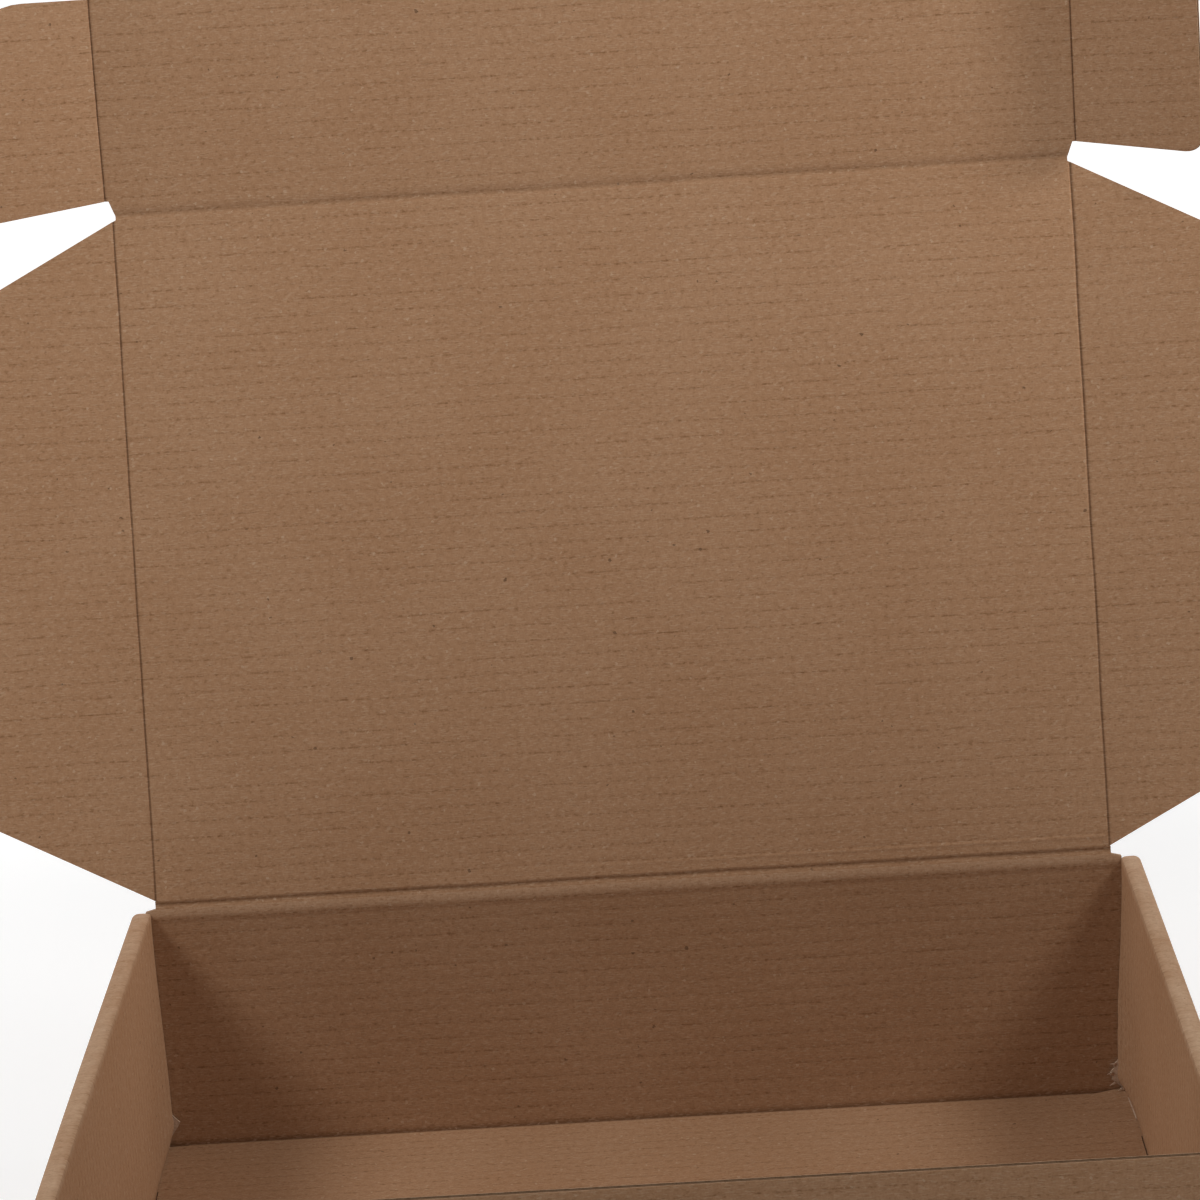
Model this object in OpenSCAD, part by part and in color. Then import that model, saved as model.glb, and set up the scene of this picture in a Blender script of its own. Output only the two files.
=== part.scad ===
// Mailing box folded from one sheet of corrugated board, shown open.
// A tray with rolled double side walls carries a lid with two side flaps and
// a tuck flap. The tuck flap ends in two ears that go inside the side walls.

/* [Board] */
// Thickness of the board
board_t = 2.5; // [1.8:0.1:3.4]
// Inside radius of a fixed fold
fold_r = 0.5; // [0.3:0.1:1]
// Play between layers that lie against each other
layer_gap = 0.2; // [0.1:0.05:0.4]
// Gap at a crease that turns, and beside a flap that is tucked in
crease_gap = 0.4; // [0.3:0.05:0.7]

/* [Tray] */
// Width inside, between the side walls
inner_w = 386; // [280:1:480]
// Depth inside, from the front wall to the back wall
inner_d = 272; // [230:1:380]
// Height of the rolled rims above the ground
tray_h = 103; // [85:1:150]
// How far the front wall stays below the rims
front_drop = 2; // [0.5:0.5:8]
// Length of the corner flaps that the side walls hold
corner_flap_len = 84; // [40:1:100]
// Taper at the free end of a corner flap
corner_flap_taper = 6; // [2:0.5:12]
// Open length of each crease at the floor's corners
corner_open = 8; // [4:0.5:14]
// Height of the corner flaps above the floor's folds
corner_lift = 0.5; // [0.3:0.1:2]

/* [Inner side panels] */
// Length of a lock tab
tab_len = 46; // [20:1:60]
// Distance of the lock tabs from the middle of the side wall
tab_y = 70; // [50:1:80]
// Gap around a lock tab in its slot
slot_gap = 0.4; // [0.3:0.1:0.8]
// Height of the cut-off lower corners
relief_h = 4; // [2:0.5:12]
// Depth of the cut-off lower corners
relief_d = 3; // [2:0.5:12]

/* [Lid] */
// Lean of the open lid behind the upright, in degrees
lid_lean = 15.5; // [5:0.5:60]
// Height of the strip between the two creases of the lid's hinge
strip_h = 5; // [4.5:0.1:9]
// Lean of that strip, in degrees
strip_lean = 10; // [0:1:15]
// Depth of the strip's lower crease below the rims
strip_drop = 2.4; // [0:0.1:2.5]
// How far the hinge stops short of the lid's edges
hinge_inset = 1; // [0.5:0.1:3]
// Radius at the inner end of the notches beside the tuck flap
notch_r = 2.2; // [1.8:0.1:3]

/* [Side flaps] */
// Height of a tucked side flap's edge above the floor
dust_floor_gap = 13; // [6:1:30]
// Slope of the side flap's ends, in degrees
dust_taper = 28; // [5:1:35]
// Radius of the side flap's outer corners
dust_corner_r = 4; // [2:0.5:10]
// Distance of the side flap's ends from the creases across the lid
dust_inset = 3.2; // [2.6:0.1:6]
// Fold of the left side flap as it stands, in degrees
left_dust_fold = 5; // [0:1:6]
// Fold of the right side flap as it stands, in degrees
right_dust_fold = 5; // [0:1:6]

/* [Tuck flap] */
// Height of the tucked flap's edge above the floor
tuck_floor_gap = 15; // [6:1:30]
// Fold of the tuck flap as it stands, in degrees
tuck_fold = 8; // [0:1:20]
// Length of an ear
ear_len = 52; // [25:1:70]
// Distance of the ears from the tuck flap's crease
ear_relief = 6; // [5:0.5:12]
// Slope of the ears' edge beside the lid, towards the lid, in degrees
ear_slant = 7; // [0:1:8]
// Distance of the ears from the tuck flap's free edge
ear_end = 3; // [1:0.5:10]
// Radius of the ear's corner beside the tuck flap's crease
ear_low_r = 6; // [2:0.5:12]
// Radius of the ear's corner at the free edge
ear_high_r = 26; // [10:1:30]
// Fold of the left ear as it stands, in degrees
left_ear_fold = 18; // [0:1:25]
// Fold of the right ear as it stands, in degrees
right_ear_fold = 27; // [0:1:27]

/* [Hidden] */
$fn = 48;

// Kraft colours: the tray's inside lies in shade, the flaps catch more light
tray_colour = [0.55, 0.42, 0.32];
lid_colour = [0.59, 0.46, 0.36];
flap_colour = [0.61, 0.47, 0.36];

// Outside radius of a fixed fold
bend_r = fold_r + board_t;
// A sheet edge stops this far from the axis of the crease beside it
hinge_cut = board_t / 2 + crease_gap;
// A cut past a face
cut = 1;

// Side wall, from the inside out: inner panel, corner flap, outer panel
panel_x = inner_w / 2;
corner_x = panel_x + board_t + layer_gap;
outer_x = corner_x + board_t + layer_gap;
out_x = outer_x + board_t;

// Front and back walls
wall_y = inner_d / 2;
out_y = wall_y + board_t;
side_y = wall_y - crease_gap;
// Where a wall starts to turn into its corner flap
turn_x = corner_x + board_t - bend_r;
turn_y = out_y - bend_r;
// The floor's creases end here, short of the corners
crease_x = panel_x - corner_open;
crease_y = wall_y - corner_open;
// Free lower and upper edges of the corner flaps
corner_low = bend_r + corner_lift;
corner_high = tray_h - board_t - 2 * layer_gap;
back_top = tray_h - strip_drop;
front_top = tray_h - front_drop;
panel_low = board_t + layer_gap;

// Creases of the tuck flap's ears and of the side flaps, from the middle
ear_x = panel_x - crease_gap - board_t / 2;
dust_x = ear_x - board_t - crease_gap;
lid_x = dust_x - hinge_cut;
hinge_x = lid_x - hinge_inset;

// Axis of the lid's hinge
strip_y = wall_y + board_t / 2;
hinge_y = strip_y + strip_h * sin(strip_lean);
hinge_z = back_top + strip_h * cos(strip_lean);
// Depth of the lid, from its hinge to the tuck flap's crease
lid_d = hinge_y + wall_y - board_t / 2 - crease_gap;

dust_w = hinge_z - board_t - dust_floor_gap;
dust_start = dust_inset;
dust_stop = lid_d - dust_inset;
tuck_len = hinge_z - board_t - tuck_floor_gap;
tuck_root = dust_x - notch_r;
tuck_x = ear_x - hinge_cut;

function unit(v) = v / norm(v);

// Points round the corner p, between its neighbours a and c
function rounded(a, p, c, r, n = 8) =
    let (u = unit(a - p),
         v = unit(c - p),
         half = acos(u * v) / 2,
         m = p + unit(u + v) * r / sin(half),
         s = p + u * r / tan(half) - m,
         e = p + v * r / tan(half) - m,
         from = atan2(s.y, s.x),
         turn = (atan2(e.y, e.x) - from + 540) % 360 - 180)
    [for (i = [0:n]) m + r * [cos(from + turn * i / n), sin(from + turn * i / n)]];

// A quarter of a fold, seen along its crease
module fold_quarter() {
    intersection() {
        difference() {
            circle(r = bend_r);
            circle(r = fold_r);
        }
        square(bend_r);
    }
}

// A profile across the box, drawn along its depth
module along_y(length) {
    rotate([90, 0, 0])
        linear_extrude(height = length, center = true)
            children();
}

// A profile of depth and height, drawn along the width
module along_x(length) {
    rotate([90, 0, 90])
        linear_extrude(height = length, center = true)
            children();
}

// A flat piece of the sheet, with its middle layer at height 0
module sheet() {
    translate([0, 0, -board_t / 2])
        linear_extrude(height = board_t)
            children();
}

// The rounded root of a flap, on the axis of its crease
module root_along_x(length) {
    rotate([0, 90, 0])
        cylinder(d = board_t, h = length, center = true);
}

module root_along_y(from, to) {
    translate([0, from, 0])
        rotate([-90, 0, 0])
            cylinder(d = board_t, h = to - from);
}

// Both sides of the box
module both_sides() {
    children();
    mirror([1, 0, 0])
        children();
}

// The floor, with a slot for each lock tab
module floor_panel() {
    slot_x = panel_x - slot_gap;
    slot_w = board_t + 2 * slot_gap;
    slot_len = tab_len + 2 * slot_gap;
    difference() {
        translate([-(out_x - bend_r), -turn_y, 0])
            cube([2 * (out_x - bend_r), 2 * turn_y, board_t]);
        both_sides()
            for (side = [-1, 1])
                translate([slot_x, side * tab_y - slot_len / 2, -cut])
                    cube([slot_w, slot_len, board_t + 2 * cut]);
    }
}

// The crease from the floor into the front or the back wall
module wall_crease() {
    translate([0, turn_y, bend_r])
        along_x(2 * crease_x)
            mirror([0, 1])
                fold_quarter();
}

// A wall between its two corner folds: top_x is half the length of its top
module end_wall(top, top_x) {
    half = [[0, bend_r],
            [crease_x, bend_r],
            [crease_x + corner_lift, corner_low],
            [turn_x, corner_low],
            [turn_x, corner_high],
            [top_x, top],
            [0, top]];
    translate([0, strip_y, 0])
        both_sides()
            along_y(board_t)
                polygon(half);
}

// A wall's end turns the corner and runs on inside the side wall
module corner_flap() {
    taper = corner_flap_taper;
    translate([turn_x, turn_y, corner_low])
        linear_extrude(height = corner_high - corner_low)
            fold_quarter();
    translate([corner_x + board_t / 2, turn_y, 0])
        along_x(board_t)
            polygon([[0, corner_low],
                     [0, corner_high],
                     [taper - corner_flap_len, corner_high],
                     [-corner_flap_len, corner_high - taper],
                     [-corner_flap_len, corner_low + taper],
                     [taper - corner_flap_len, corner_low]]);
}

// The side's outer panel with the fold from the floor and the rolled rim
module outer_side_wall() {
    translate([out_x - bend_r, 0, bend_r])
        along_y(2 * crease_y)
            mirror([0, 1])
                fold_quarter();
    along_y(2 * side_y) {
        translate([outer_x, bend_r])
            square([board_t, tray_h - 2 * bend_r]);
        translate([out_x - bend_r, tray_h - bend_r])
            fold_quarter();
        translate([panel_x + bend_r, tray_h - board_t])
            square([out_x - panel_x - 2 * bend_r, board_t]);
        translate([panel_x + bend_r, tray_h - bend_r])
            mirror([1, 0])
                fold_quarter();
    }
}

// The panel that hangs from the rim to the floor, with lock tabs in its slots
module inner_side_panel() {
    half_tab = tab_len / 2;
    translate([panel_x + board_t / 2, 0, 0])
        along_x(board_t) {
            polygon([[-side_y, tray_h - bend_r],
                     [side_y, tray_h - bend_r],
                     [side_y, panel_low + relief_h],
                     [side_y - relief_d, panel_low],
                     [relief_d - side_y, panel_low],
                     [-side_y, panel_low + relief_h]]);
            for (side = [-1, 1])
                translate([side * tab_y - half_tab, layer_gap])
                    square([tab_len, panel_low]);
        }
}

// The strip that carries the lid's crease above the back wall
module hinge_strip() {
    translate([0, strip_y, back_top])
        along_x(2 * hinge_x) {
            circle(d = board_t);
            rotate(-strip_lean)
                translate([-board_t / 2, 0])
                    square([board_t, strip_h - hinge_cut]);
        }
}

module tray() {
    color(tray_colour) {
        floor_panel();
        wall_crease();
        end_wall(back_top, hinge_x);
        hinge_strip();
        mirror([0, 1, 0]) {
            wall_crease();
            end_wall(front_top, panel_x - board_t);
        }
        both_sides() {
            corner_flap();
            mirror([0, 1, 0])
                corner_flap();
            outer_side_wall();
            inner_side_panel();
        }
    }
}

// The lid's own plane: x across, y from the hinge, z to the inside
module on_lid() {
    translate([0, hinge_y, hinge_z])
        rotate([90 - lid_lean, 0, 0])
            children();
}

// The tuck flap's own plane, from its crease
module on_tuck() {
    on_lid()
        translate([0, lid_d, 0])
            rotate([tuck_fold, 0, 0])
                children();
}

module lid_panel() {
    color(lid_colour)
        on_lid() {
            root_along_x(2 * hinge_x);
            sheet()
                difference() {
                    polygon([[-hinge_x, 0],
                             [hinge_x, 0],
                             [lid_x, board_t / 2],
                             [lid_x, lid_d - hinge_cut],
                             [-lid_x, lid_d - hinge_cut],
                             [-lid_x, board_t / 2]]);
                    for (side = [-1, 1])
                        translate([side * dust_x, lid_d])
                            circle(r = notch_r);
                }
        }
}

// A side flap, drawn on the right of the lid
module dust_flap(fold) {
    slope = dust_w * tan(dust_taper);
    low = [dust_w, dust_start + slope];
    high = [dust_w, dust_stop - slope];
    color(flap_colour)
        translate([dust_x, 0, 0])
            rotate([0, -fold, 0]) {
                root_along_y(dust_start, dust_stop);
                sheet()
                    polygon(concat([[0, dust_stop], [0, dust_start]],
                                   rounded([0, dust_start], low, high, dust_corner_r),
                                   rounded(low, high, [0, dust_stop], dust_corner_r)));
            }
}

module left_dust_flap() {
    on_lid()
        mirror([1, 0, 0])
            dust_flap(left_dust_fold);
}

module right_dust_flap() {
    on_lid()
        dust_flap(right_dust_fold);
}

module tuck_flap() {
    color(lid_colour)
        on_tuck() {
            root_along_x(2 * tuck_root);
            sheet()
                polygon([[-tuck_root, 0],
                         [tuck_root, 0],
                         [tuck_x, ear_relief],
                         [tuck_x, tuck_len],
                         [-tuck_x, tuck_len],
                         [-tuck_x, ear_relief]]);
        }
}

// An ear, drawn on the right end of the tuck flap
module tuck_ear(fold) {
    root = [0, ear_relief];
    tip = [0, tuck_len - ear_end];
    low = [ear_len, ear_relief - ear_len * tan(ear_slant)];
    high = [ear_len, tuck_len - ear_end];
    color(flap_colour)
        translate([ear_x, 0, 0])
            rotate([0, -fold, 0]) {
                root_along_y(root.y, tip.y);
                sheet()
                    polygon(concat([tip, root],
                                   rounded(root, low, high, ear_low_r),
                                   rounded(low, high, tip, ear_high_r)));
            }
}

module left_tuck_ear() {
    on_tuck()
        mirror([1, 0, 0])
            tuck_ear(left_ear_fold);
}

module right_tuck_ear() {
    on_tuck()
        tuck_ear(right_ear_fold);
}

tray();
lid_panel();
left_dust_flap();
right_dust_flap();
tuck_flap();
left_tuck_ear();
right_tuck_ear();
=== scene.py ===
# %% [markdown]
# # A mailing box of corrugated board, standing open
# The real box is one die-cut sheet: two brown paper liners with a wavy paper glued between them. Nothing is
# added to it, so every panel here is cut from the same flat sheet, given its thickness, folded and then
# stood where the frame has it. The frame comes first, because each panel moves with one of its bodies.

# %% Load the frame
from math import ceil, cos, exp, floor, pi, radians, sin, tan

import bmesh
import bpy
from mathutils import Matrix, Vector, noise
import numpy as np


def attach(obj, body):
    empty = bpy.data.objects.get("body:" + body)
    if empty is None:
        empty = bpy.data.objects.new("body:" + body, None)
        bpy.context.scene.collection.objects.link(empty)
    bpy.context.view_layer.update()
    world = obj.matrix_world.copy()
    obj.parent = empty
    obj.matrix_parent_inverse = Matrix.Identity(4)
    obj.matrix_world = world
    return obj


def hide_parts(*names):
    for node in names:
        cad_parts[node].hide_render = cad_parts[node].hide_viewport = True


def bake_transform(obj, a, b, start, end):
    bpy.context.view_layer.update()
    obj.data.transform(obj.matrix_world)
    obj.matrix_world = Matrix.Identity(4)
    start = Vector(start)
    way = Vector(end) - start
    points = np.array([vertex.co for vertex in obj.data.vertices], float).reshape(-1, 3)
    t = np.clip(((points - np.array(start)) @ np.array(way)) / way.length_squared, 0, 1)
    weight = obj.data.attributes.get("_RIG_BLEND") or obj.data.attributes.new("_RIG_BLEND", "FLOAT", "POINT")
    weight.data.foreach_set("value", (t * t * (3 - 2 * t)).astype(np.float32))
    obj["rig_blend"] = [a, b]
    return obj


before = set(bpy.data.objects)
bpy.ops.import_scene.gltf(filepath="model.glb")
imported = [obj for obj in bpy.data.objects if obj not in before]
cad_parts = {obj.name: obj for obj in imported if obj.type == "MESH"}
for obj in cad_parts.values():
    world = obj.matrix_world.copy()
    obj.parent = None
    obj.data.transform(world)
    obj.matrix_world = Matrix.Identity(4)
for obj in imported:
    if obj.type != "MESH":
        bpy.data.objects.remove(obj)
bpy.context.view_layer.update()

# %% [markdown]
# ## The sizes of the board and of the box
# All work is done in millimetres, and a piece becomes metres when it is finished. The sizes are those of
# the solid model, so that a panel lands on its solid without any fitting.

# %% Board
MM = 0.001
BOARD = 2.5
HALF = BOARD / 2
FLUTE = 6.35
ROW = FLUTE / 6
FOLD_IN = 0.5
FOLD_MID = FOLD_IN + HALF
FOLD_OUT = FOLD_IN + BOARD
QUARTER = FOLD_MID * pi / 2
LAYER_GAP = 0.2
PLAY = 0.4
HINGE_CUT = HALF + PLAY
print(f"board {BOARD} mm thick, a flute every {FLUTE} mm, a quarter fold takes {QUARTER:.2f} mm of sheet")

# %% Tray
PANEL_X = 193.0
CORNER_X = PANEL_X + BOARD + LAYER_GAP
OUT_X = CORNER_X + BOARD + LAYER_GAP + BOARD
WALL_Y = 136.0
STRIP_Y = WALL_Y + HALF
SIDE_Y = WALL_Y - PLAY
TURN_X = CORNER_X + BOARD - FOLD_OUT
TURN_Y = WALL_Y + BOARD - FOLD_OUT
RIM_Z = 103.0
BACK_TOP = RIM_Z - 2.4
FRONT_TOP = RIM_Z - 2.0
CORNER_OPEN = 8.0
CREASE_X = PANEL_X - CORNER_OPEN
CORNER_LOW = FOLD_OUT + 0.5
CORNER_HIGH = RIM_Z - BOARD - 2 * LAYER_GAP
PANEL_LOW = BOARD + LAYER_GAP
print(f"tray {2 * OUT_X:.1f} mm wide and {RIM_Z} mm high")

# %% Lid and flaps
EAR_X = PANEL_X - PLAY - HALF
DUST_X = EAR_X - BOARD - PLAY
LID_X = DUST_X - HINGE_CUT
HINGE_END = DUST_X + 0.3
STRIP_H = 5.0
STRIP_LEAN = 10.0
LID_LEAN = 15.5
HINGE_Y = STRIP_Y + STRIP_H * sin(radians(STRIP_LEAN))
HINGE_Z = BACK_TOP + STRIP_H * cos(radians(STRIP_LEAN))
LID_D = HINGE_Y + WALL_Y - HALF - PLAY
DUST_W = HINGE_Z - BOARD - 13.0
DUST_TAPER = tan(radians(28.0))
DUST_INSET = 2.0
DUST_LOW = 1.5
DUST_FOLD = 5.0
TUCK_LEN = HINGE_Z - BOARD - 15.0
TUCK_ROOT = DUST_X - 1.0
TUCK_X = EAR_X - HINGE_CUT
TUCK_FOLD = 8.0
EAR_LEN = 52.0
EAR_RELIEF = 6.0
EAR_SLANT = tan(radians(7.0))
EAR_END = 3.0
EAR_FOLD = {-1: 18.0, 1: 27.0}
SIDE_NAME = {-1: "left", 1: "right"}
print(f"lid {2 * DUST_X:.1f} by {LID_D:.1f} mm between its creases")

# %% [markdown]
# ## The flat sheet
# U runs across the sheet and V along it, from the middle of the floor up the back wall and on over the lid.
# The flutes run along U on the whole sheet, so one set of V stations gives every panel its place, and the
# flute lines run on from panel to panel over the folds.

# %% Stations along the sheet
V_WALL = TURN_Y + QUARTER
V_STRIP = V_WALL + BACK_TOP - FOLD_OUT
V_LID = V_STRIP + STRIP_H
V_TUCK = V_LID + LID_D
U_OUTER = OUT_X - FOLD_OUT + QUARTER
U_RIM = U_OUTER + RIM_Z - 2 * FOLD_OUT
U_CROWN = U_RIM + QUARTER
U_INNER = U_CROWN + OUT_X - PANEL_X - 2 * FOLD_OUT
U_PANEL = U_INNER + QUARTER
U_END = U_PANEL + RIM_Z - FOLD_OUT - PANEL_LOW
print(f"the lid's crease is {V_LID:.1f} mm along the sheet, the tuck flap's {V_TUCK:.1f} mm")

# %% [markdown]
# ## The camera
# The photograph looks down into the box from the front with a long lens, and the picture is turned by about
# four degrees. Each of these numbers was fitted to the corners of the lid, the rims and the floor.

# %% Camera
LOOK_DOWN, LOOK_ASIDE, PICTURE_TURN = radians(16.6), radians(-1.317), radians(-3.82)
CAMERA_AT = Vector((28.61, -1335.13, 659.55)) * MM
LENS = 119.38

ahead = Vector((sin(LOOK_ASIDE) * cos(LOOK_DOWN), cos(LOOK_ASIDE) * cos(LOOK_DOWN), -sin(LOOK_DOWN)))
level = Vector((cos(LOOK_ASIDE), -sin(LOOK_ASIDE), 0))
turn = Matrix.Rotation(-PICTURE_TURN, 3, ahead)
right, up = turn @ level, turn @ level.cross(ahead)
camera = bpy.data.objects.new("camera", bpy.data.cameras.new("camera"))
camera.data.lens = LENS
camera.data.sensor_width = 36
camera.data.clip_end = 50
camera.matrix_world = Matrix.Translation(CAMERA_AT) @ Matrix((right, up, -ahead)).transposed().to_4x4()
bpy.context.scene.collection.objects.link(camera)
bpy.context.scene.camera = camera
print("camera looks along", [round(c, 3) for c in ahead])

# %% [markdown]
# ## Light
# Both side walls throw a soft three-cornered shadow on the back wall, so the light comes from two soft
# boxes, high up in front on the left and right. Two lower ones light the lid from the sides, and a narrow
# one gives the tuck flap the shadow of its ear. One behind the lid lights the box's back. Together they
# keep a plain level, at which the board's colours come out about as they are written.

# %% Lamps
def soft_box(name, at, aim, size, watts, spread=180):
    """A rectangular studio lamp that points at a place."""
    lamp = bpy.data.lights.new(name, "AREA")
    lamp.shape = "RECTANGLE"
    lamp.size, lamp.size_y = size
    lamp.energy = watts
    lamp.spread = radians(spread)
    made = bpy.data.objects.new(name, lamp)
    made.location = at
    made.rotation_euler = (Vector(aim) - Vector(at)).to_track_quat("-Z", "Y").to_euler()
    bpy.context.scene.collection.objects.link(made)


AIM = (0, 0.1, 0.2)
soft_box("left_high", (-1.07, -0.52, 1.40), AIM, (0.5, 0.5), 11.6)
soft_box("right_high", (1.07, -0.52, 1.40), AIM, (0.5, 0.5), 10.2)
soft_box("left_light", (-1.3, 0.1, 0.62), AIM, (0.5, 0.3), 5)
soft_box("right_light", (1.3, 0.1, 0.62), AIM, (0.5, 0.3), 5.5)
soft_box("right_beam", (1.3, -0.12, 0.62), (0.05, 0.21, 0.43), (0.15, 0.15), 0.32, 32)
soft_box("back_fill", (0, 1.6, 0.55), AIM, (1.2, 0.6), 9)
bpy.context.scene.view_settings.view_transform = "Standard"

# %% [markdown]
# ## Helpers for finishes
# A finish is a tree of nodes. One helper makes a node, sets its options and fills its sockets with numbers
# or with links, which keeps each finish readable as a short list of steps.

# %% Node helpers
def node(tree, kind, inputs=None, **options):
    """A shader node with its options set and its sockets filled by numbers or links."""
    made = tree.nodes.new("ShaderNode" + kind)
    for key, value in options.items():
        setattr(made, key, value)
    for key, value in (inputs or {}).items():
        if isinstance(value, bpy.types.NodeSocket):
            tree.links.new(value, made.inputs[key])
        else:
            made.inputs[key].default_value = value
    return made


def calc(tree, operation, a, b=0.0):
    """One step of arithmetic with two values."""
    return node(tree, "Math", {0: a, 1: b}, operation=operation).outputs[0]


def fade(tree, value, low, high, out_low=0.0, out_high=1.0):
    """A soft step from low to high."""
    ends = {"Value": value, "From Min": low, "From Max": high, "To Min": out_low, "To Max": out_high}
    return node(tree, "MapRange", ends, interpolation_type="SMOOTHSTEP").outputs[0]


def blend_colour(tree, share, a, b):
    """Colour a with a share of colour b laid over it."""
    return node(tree, "Mix", {0: share, 6: a, 7: b}, data_type="RGBA").outputs[2]


def grain(tree, where, scale, detail=2.0, stretch=(1, 1), turn=0.0):
    """Noise on the sheet, stretched along one direction for fibres; scale counts grains in a metre."""
    size = (scale * stretch[0], scale * stretch[1], scale)
    spot = node(tree, "Mapping", {"Vector": where, "Rotation": (0, 0, turn), "Scale": size})
    sockets = {"Vector": spot.outputs[0], "Scale": 1.0, "Detail": detail}
    return node(tree, "TexNoise", sockets, noise_dimensions="2D").outputs[0]


def empty_finish(name):
    """A new finish without any nodes, and its tree."""
    made = bpy.data.materials.new(name)
    made.use_nodes = True
    made.node_tree.nodes.clear()
    return made, made.node_tree


def seen_white(tree):
    """1 for the rays that show the background itself: the camera's, and those by way of gloss or glass."""
    rays = node(tree, "LightPath").outputs
    seen = calc(tree, "MAXIMUM", rays["Is Camera Ray"], rays["Is Glossy Ray"])
    return calc(tree, "MAXIMUM", seen, rays["Is Transmission Ray"])


print("node helpers ready")

# %% [markdown]
# ## The white background
# The box was photographed on white. The world is white where the camera or a reflection shows it, and
# lights the board only faintly, because the lamps have to give the shadows their shape.

# %% World
WORLD_LIGHT = 0.05
world = bpy.data.worlds.new("studio")
world.use_nodes = True
bpy.context.scene.world = world
sky = world.node_tree
sky.nodes.clear()
seen = node(sky, "Background", {"Color": (1, 1, 1, 1), "Strength": 1.0})
unseen = node(sky, "Background", {"Color": (0.95, 0.97, 1, 1), "Strength": WORLD_LIGHT})
pick = node(sky, "MixShader", {0: seen_white(sky), 1: unseen.outputs[0], 2: seen.outputs[0]})
node(sky, "OutputWorld", {0: pick.outputs[0]})
print("world light", WORLD_LIGHT)

# %% [markdown]
# ## Marks in the brown liner
# Kraft paper is full of fibres, specks and a fine grain, and the flutes behind it show as thin broken lines
# where they are glued on. A picture of paper could be laid on, but it would repeat. Here noise makes each
# mark, drawn in the sheet's own U and V from a map that each panel carries, so it follows the folds.

# %% Flute lines and fibres
LINE_SWAY = 0.0007
SWAY_GRAIN, RUN_GRAIN, TICK_GRAIN, STRAND_GRAIN = 30, 34, 480, 1900
THIN, WIDE = (0.085, 0.015), (0.32, 0.0)
STRANDS = ((0.2, (0.16, 1)), (1.8, (0.18, 1)))


def flute_lines(tree, where):
    """How strongly a flute's glue line shows, thin and broken, and the wide dip about it."""
    along = node(tree, "SeparateXYZ", {0: where}).outputs[1]
    aside = calc(tree, "SUBTRACT", grain(tree, where, SWAY_GRAIN, 0.0), 0.5)
    sway = calc(tree, "MULTIPLY", aside, LINE_SWAY)
    turns = calc(tree, "DIVIDE", calc(tree, "ADD", along, sway), FLUTE * MM)
    off = calc(tree, "ABSOLUTE", calc(tree, "SUBTRACT", turns, calc(tree, "ROUND", turns)))
    runs = fade(tree, grain(tree, where, RUN_GRAIN, 0.0, (1, 6)), 0.26, 0.56)
    ticks = fade(tree, grain(tree, where, TICK_GRAIN), 0.42, 0.60)
    broken = calc(tree, "MULTIPLY", runs, ticks)
    return calc(tree, "MULTIPLY", fade(tree, off, *THIN), broken), fade(tree, off, *WIDE)


def pale_strands(tree, where):
    """Short pale fibres that lie in two directions."""
    lying = [fade(tree, grain(tree, where, STRAND_GRAIN, 0.0, stretch, turn), 0.685, 0.785)
             for turn, stretch in STRANDS]
    return calc(tree, "MAXIMUM", *lying)


print("fibres lie in", len(STRANDS), "directions")

# %% Specks
def speck_cells(tree, where, jitter, scale):
    """A cell for each place that may hold a speck: how far its middle is, and its own chances."""
    wander = node(tree, "VectorMath", {0: where, 1: jitter}, operation="ADD").outputs[0]
    cells = node(tree, "TexVoronoi", {"Vector": wander, "Scale": scale}, voronoi_dimensions="2D").outputs
    return cells["Distance"], node(tree, "SeparateColor", {0: cells["Color"]}).outputs


def specks(tree, cells, draw, share, radius):
    """Specks in a share of the cells, picked by one of each cell's chances."""
    apart, chances = cells
    return calc(tree, "LESS_THAN", apart, fade(tree, chances[draw], 1 - share, 1.0, 0.0, radius))


print("specks ready")

# %% [markdown]
# ## The liner's colour
# The paper itself is cloudy between two browns. Its marks make it lighter or darker: dark ones are browner
# than the paper and pale ones greyer, so this tone has its own power in red, green and blue. The creases get
# painted shade, and the rims and the hinge strip are painted paler, the rims partly as scuffed paper and
# partly as painted light, the strip as painted light. Each panel carries these amounts in its points.

# %% Liner tone
CLOUD_GRAIN, MOTTLE_GRAIN, FINE_GRAIN, STRAY_GRAIN = 16, 420, 1300, 1000
MOTTLE_TONE, FINE_TONE = 0.055, 0.065
# Where the paper is painted paler, by scuffs and painted light, the flute lines show less.
LINE_DARK, SCUFF_AND_LIGHT_LINE_DARK, DIP_DARK, STRAY_DARK = 0.215, 0.05, 0.03, 0.15


def liner_tone(tree, where, mottle, fine, scuff_and_light_mask):
    """How light the paper is, about 1: grain, flute lines and stray dark fibres."""
    tone = calc(tree, "ADD", fade(tree, mottle, 0.25, 0.75, -MOTTLE_TONE, MOTTLE_TONE),
                fade(tree, fine, 0.2, 0.8, -FINE_TONE, FINE_TONE))
    lines, dip = flute_lines(tree, where)
    stray = fade(tree, grain(tree, where, STRAY_GRAIN, 1.0, (0.4, 1)), 0.62, 0.74)
    line_dark = fade(tree, scuff_and_light_mask, 0.2, 0.6, LINE_DARK, SCUFF_AND_LIGHT_LINE_DARK)
    for dark, strength in ((lines, line_dark), (dip, DIP_DARK), (stray, STRAY_DARK)):
        tone = calc(tree, "SUBTRACT", tone, calc(tree, "MULTIPLY", dark, strength))
    return calc(tree, "ADD", tone, 1.0)


print("flute lines darken the liner by up to", LINE_DARK)

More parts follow.
